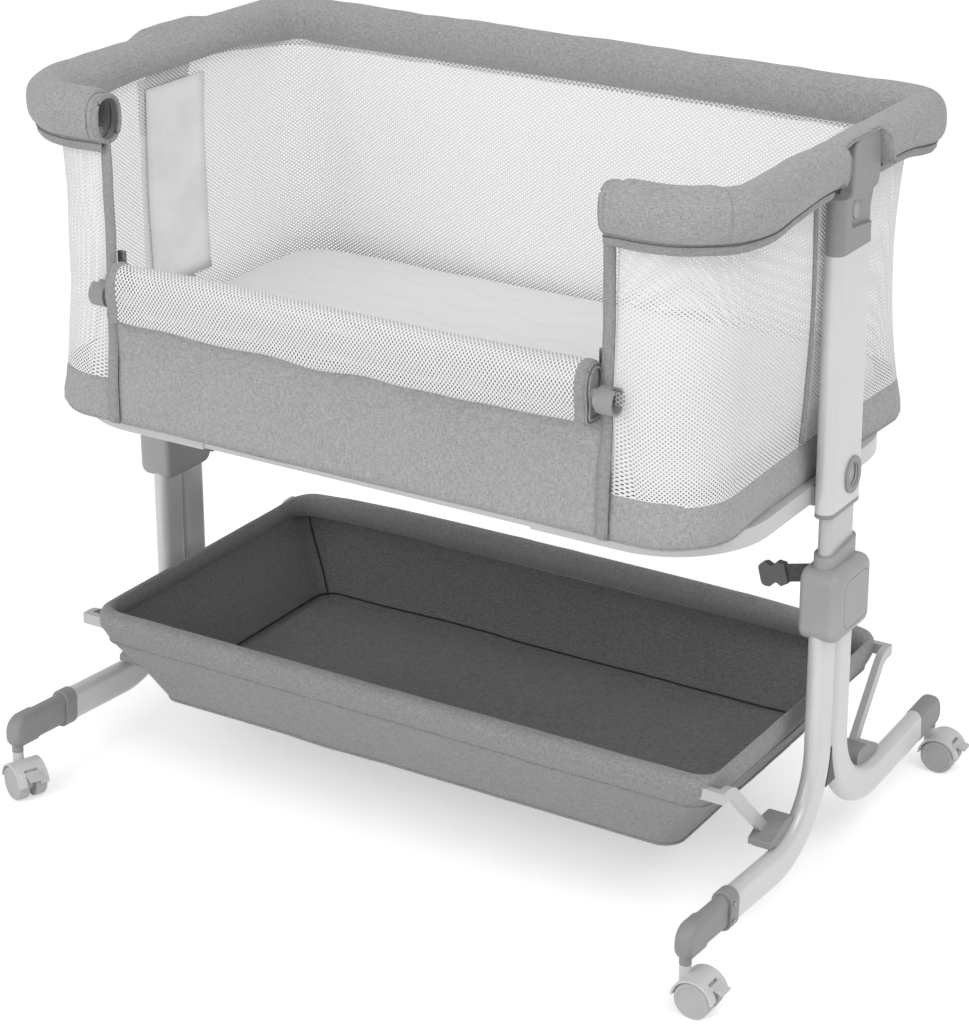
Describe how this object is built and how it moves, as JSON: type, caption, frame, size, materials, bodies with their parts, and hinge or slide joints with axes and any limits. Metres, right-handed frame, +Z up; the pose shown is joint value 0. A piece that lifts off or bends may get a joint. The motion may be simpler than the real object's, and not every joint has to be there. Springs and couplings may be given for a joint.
{
  "type": "bedside sleeper crib",
  "caption": "Bedside sleeper crib with mesh walls, a padded top rail, a lowered drop side, two telescopic legs on casters and a fabric basket underneath.",
  "frame": {"origin": "middle of the part's footprint on the floor", "axes": "+X along the crib to its right end, +Y to the back, away from the drop side, +Z up"},
  "size_m": [0.9578, 0.6717, 0.845],
  "materials": {
    "tube_paint": "satin",
    "moulded_grey": "satin",
    "hub_grey": "satin",
    "cap_grey": "satin",
    "caster_shell": "gloss",
    "caster_tread": "matte",
    "brake_plastic": "matte",
    "rail_fabric": "woven",
    "mesh_net": "open mesh",
    "roll_net": "gathered mesh",
    "zip_tape": "woven",
    "zip_metal": "satin",
    "mattress_cloth": "quilted",
    "bed_board": "matte",
    "frame_steel": "satin",
    "basket_cloth": "woven",
    "rod_steel": "satin",
    "webbing": "woven",
    "buckle_plastic": "satin",
    "screw_steel": "satin",
    "gusset_grey": "matte"
  },
  "bodies": {
    "base": {"leg_front_right": "tube_paint", "leg_front_left": "tube_paint", "leg_rear_right": "tube_paint", "leg_rear_left": "tube_paint", "leg_gussets": "gusset_grey", "hub_shell_inner_right": "hub_grey", "hub_shell_inner_left": "hub_grey", "hub_shell_outer_right": "hub_grey", "hub_shell_outer_left": "hub_grey", "inner_post_right": "rod_steel", "inner_post_left": "rod_steel", "foot_collars": "cap_grey", "rear_feet": "cap_grey", "basket_rods": "rod_steel", "basket_arms": "rod_steel", "basket_cleats": "moulded_grey", "basket_fabric": "basket_cloth", "anchor_straps": "webbing", "anchor_buckles": "buckle_plastic", "screws": "screw_steel"},
    "bed": {"upper_tube_right": "tube_paint", "upper_tube_left": "tube_paint", "guide_bushes": "moulded_grey", "window_bezels": "moulded_grey", "top_fitting_right": "moulded_grey", "top_fitting_left": "moulded_grey", "rail_tube": "tube_paint", "rail_sockets": "moulded_grey", "rail_cover": "rail_fabric", "zip_tapes": "zip_tape", "fabric_band": "rail_fabric", "mesh_walls": "mesh_net", "base_board": "bed_board", "mattress": "mattress_cloth", "bed_support_ends": "frame_steel", "bed_support_rails": "frame_steel", "support_brackets": "moulded_grey"},
    "drop_rail": {"drop_rail_tube": "tube_paint", "drop_rail_cups": "moulded_grey", "drop_mesh_roll": "roll_net"},
    "button_right": {"release_button_right": "hub_grey"},
    "zip_right": {"zip_slider_right": "zip_metal"},
    "extension_right": {"foot_extension_right": "cap_grey"},
    "button_left": {"release_button_left": "hub_grey"},
    "zip_left": {"zip_slider_left": "zip_metal"},
    "extension_left": {"foot_extension_left": "cap_grey"},
    "caster_front_right": {"caster_hood_front_right": "caster_shell"},
    "wheels_front_right": {"caster_wheels_front_right": "caster_tread"},
    "brake_front_right": {"caster_brake_front_right": "brake_plastic"},
    "caster_rear_right": {"caster_hood_rear_right": "caster_shell"},
    "wheels_rear_right": {"caster_wheels_rear_right": "caster_tread"},
    "brake_rear_right": {"caster_brake_rear_right": "brake_plastic"},
    "caster_front_left": {"caster_hood_front_left": "caster_shell"},
    "wheels_front_left": {"caster_wheels_front_left": "caster_tread"},
    "brake_front_left": {"caster_brake_front_left": "brake_plastic"},
    "caster_rear_left": {"caster_hood_rear_left": "caster_shell"},
    "wheels_rear_left": {"caster_wheels_rear_left": "caster_tread"},
    "brake_rear_left": {"caster_brake_rear_left": "brake_plastic"}
  },
  "joints": [
    {"name": "height_slide", "type": "slide", "parent": "base", "child": "bed", "axis": [0, 0, 1], "range_m": [-0.03, 0.13]},
    {"name": "drop_slide", "type": "slide", "parent": "bed", "child": "drop_rail", "axis": [0, 0.0607, 0.9982], "range_m": [0, 0.18935], "deforming": ["zip_tapes"]},
    {"name": "button_press_right", "type": "slide", "parent": "bed", "child": "button_right", "axis": [-1, 0, 0], "range_m": [0, 0.003], "stiffness_N_per_m": 500},
    {"name": "zip_slide_right", "type": "slide", "parent": "bed", "child": "zip_right", "axis": [0, 0, 1], "range_m": [0, 0.11]},
    {"name": "extension_slide_right", "type": "slide", "parent": "base", "child": "extension_right", "axis": [0, -0.9983, 0.0576], "range_m": [-0.045, 0.02]},
    {"name": "button_press_left", "type": "slide", "parent": "bed", "child": "button_left", "axis": [1, 0, 0], "range_m": [0, 0.003], "stiffness_N_per_m": 500},
    {"name": "zip_slide_left", "type": "slide", "parent": "bed", "child": "zip_left", "axis": [0, 0, 1], "range_m": [0, 0.11]},
    {"name": "extension_slide_left", "type": "slide", "parent": "base", "child": "extension_left", "axis": [0, -0.9983, 0.0576], "range_m": [-0.045, 0.02]},
    {"name": "swivel_front_right", "type": "hinge", "parent": "extension_right", "child": "caster_front_right", "pos_m": [0.441, -0.303, 0.05], "axis": [0, 0, 1], "continuous": true},
    {"name": "roll_front_right", "type": "hinge", "parent": "caster_front_right", "child": "wheels_front_right", "pos_m": [0.4575, -0.303, 0.0205], "axis": [0, 1, 0], "continuous": true},
    {"name": "brake_press_front_right", "type": "hinge", "parent": "caster_front_right", "child": "brake_front_right", "pos_m": [0.47589, -0.303, 0.03593], "axis": [0, 1, 0], "range_deg": [0, 25]},
    {"name": "swivel_rear_right", "type": "hinge", "parent": "base", "child": "caster_rear_right", "pos_m": [0.441, 0.311, 0.05], "axis": [0, 0, 1], "continuous": true},
    {"name": "roll_rear_right", "type": "hinge", "parent": "caster_rear_right", "child": "wheels_rear_right", "pos_m": [0.45748, 0.31186, 0.0205], "axis": [-0.0523, 0.9986, 0], "continuous": true},
    {"name": "brake_press_rear_right", "type": "hinge", "parent": "caster_rear_right", "child": "brake_rear_right", "pos_m": [0.47584, 0.31283, 0.03593], "axis": [-0.0523, 0.9986, 0], "range_deg": [0, 25]},
    {"name": "swivel_front_left", "type": "hinge", "parent": "extension_left", "child": "caster_front_left", "pos_m": [-0.441, -0.303, 0.05], "axis": [0, 0, 1], "continuous": true},
    {"name": "roll_front_left", "type": "hinge", "parent": "caster_front_left", "child": "wheels_front_left", "pos_m": [-0.42581, -0.30945, 0.0205], "axis": [0.3907, 0.9205, 0], "continuous": true},
    {"name": "brake_press_front_left", "type": "hinge", "parent": "caster_front_left", "child": "brake_front_left", "pos_m": [-0.40889, -0.31663, 0.03593], "axis": [0.3907, 0.9205, 0], "range_deg": [0, 25]},
    {"name": "swivel_rear_left", "type": "hinge", "parent": "base", "child": "caster_rear_left", "pos_m": [-0.441, 0.311, 0.05], "axis": [0, 0, 1], "continuous": true},
    {"name": "roll_rear_left", "type": "hinge", "parent": "caster_rear_left", "child": "wheels_rear_left", "pos_m": [-0.42466, 0.3133, 0.0205], "axis": [-0.1392, 0.9903, 0], "continuous": true},
    {"name": "brake_press_rear_left", "type": "hinge", "parent": "caster_rear_left", "child": "brake_rear_left", "pos_m": [-0.40645, 0.31585, 0.03593], "axis": [-0.1392, 0.9903, 0], "range_deg": [0, 25]}
  ]
}
